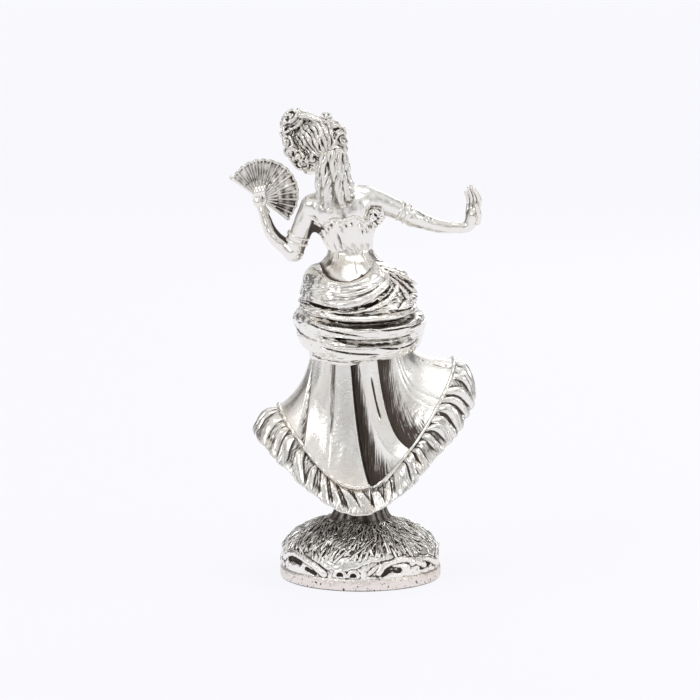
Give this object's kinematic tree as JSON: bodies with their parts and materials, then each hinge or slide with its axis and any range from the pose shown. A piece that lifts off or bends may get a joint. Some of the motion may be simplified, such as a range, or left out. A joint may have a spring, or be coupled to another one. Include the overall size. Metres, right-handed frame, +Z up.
{
  "type": "souvenir figurine",
  "caption": "Small cast silver statuette of a lady in a bustled, flounced ball gown, holding up an open fan, on a round grassy mound base that stands on a shelf.",
  "frame": {"origin": "centre of the base plate's flat underside", "axes": "+Z up; +Y the way the lady faces; +X to her right, so a viewer behind her sees +X on the right"},
  "size_m": [0.0487, 0.0317, 0.0894],
  "materials": {
    "polished_silver": "polished cast silver, bright on the high places, dark in the folds",
    "oxidised_silver": "cast silver with dark oxidation left in the chased texture",
    "base_silver": "cast silver base, chased grass and scrolls, worn bright on the edge",
    "screw_brass": "plain turned brass"
  },
  "bodies": {
    "root": {"base_plate": "base_silver", "base_mound": "base_silver", "scroll_border": "base_silver", "fixing_screw": "screw_brass", "petticoat": "oxidised_silver", "left_shoe": "polished_silver", "right_shoe": "polished_silver", "skirt": "polished_silver", "flounce": "polished_silver", "hem_piping": "polished_silver", "hip_wrap": "polished_silver", "middle_drape": "polished_silver", "lower_drape": "polished_silver", "bodice": "polished_silver", "shoulders": "polished_silver", "neckline_frill": "polished_silver", "left_upper_arm": "polished_silver", "left_glove_cuff": "polished_silver", "left_forearm": "polished_silver", "right_upper_arm": "polished_silver", "right_glove_cuff": "polished_silver", "right_forearm": "polished_silver", "right_hand": "polished_silver", "left_hand": "polished_silver", "head": "polished_silver", "hair": "oxidised_silver", "topknot": "oxidised_silver", "hair_flower": "oxidised_silver", "right_curls": "oxidised_silver", "left_curls": "oxidised_silver", "ringlet_1": "oxidised_silver", "ringlet_2": "oxidised_silver", "ringlet_3": "oxidised_silver", "ringlet_4": "oxidised_silver", "fan_leaf": "oxidised_silver", "fan_sticks": "oxidised_silver", "fan_guard_right": "polished_silver", "fan_guard_left": "polished_silver"}
  },
  "joints": []
}
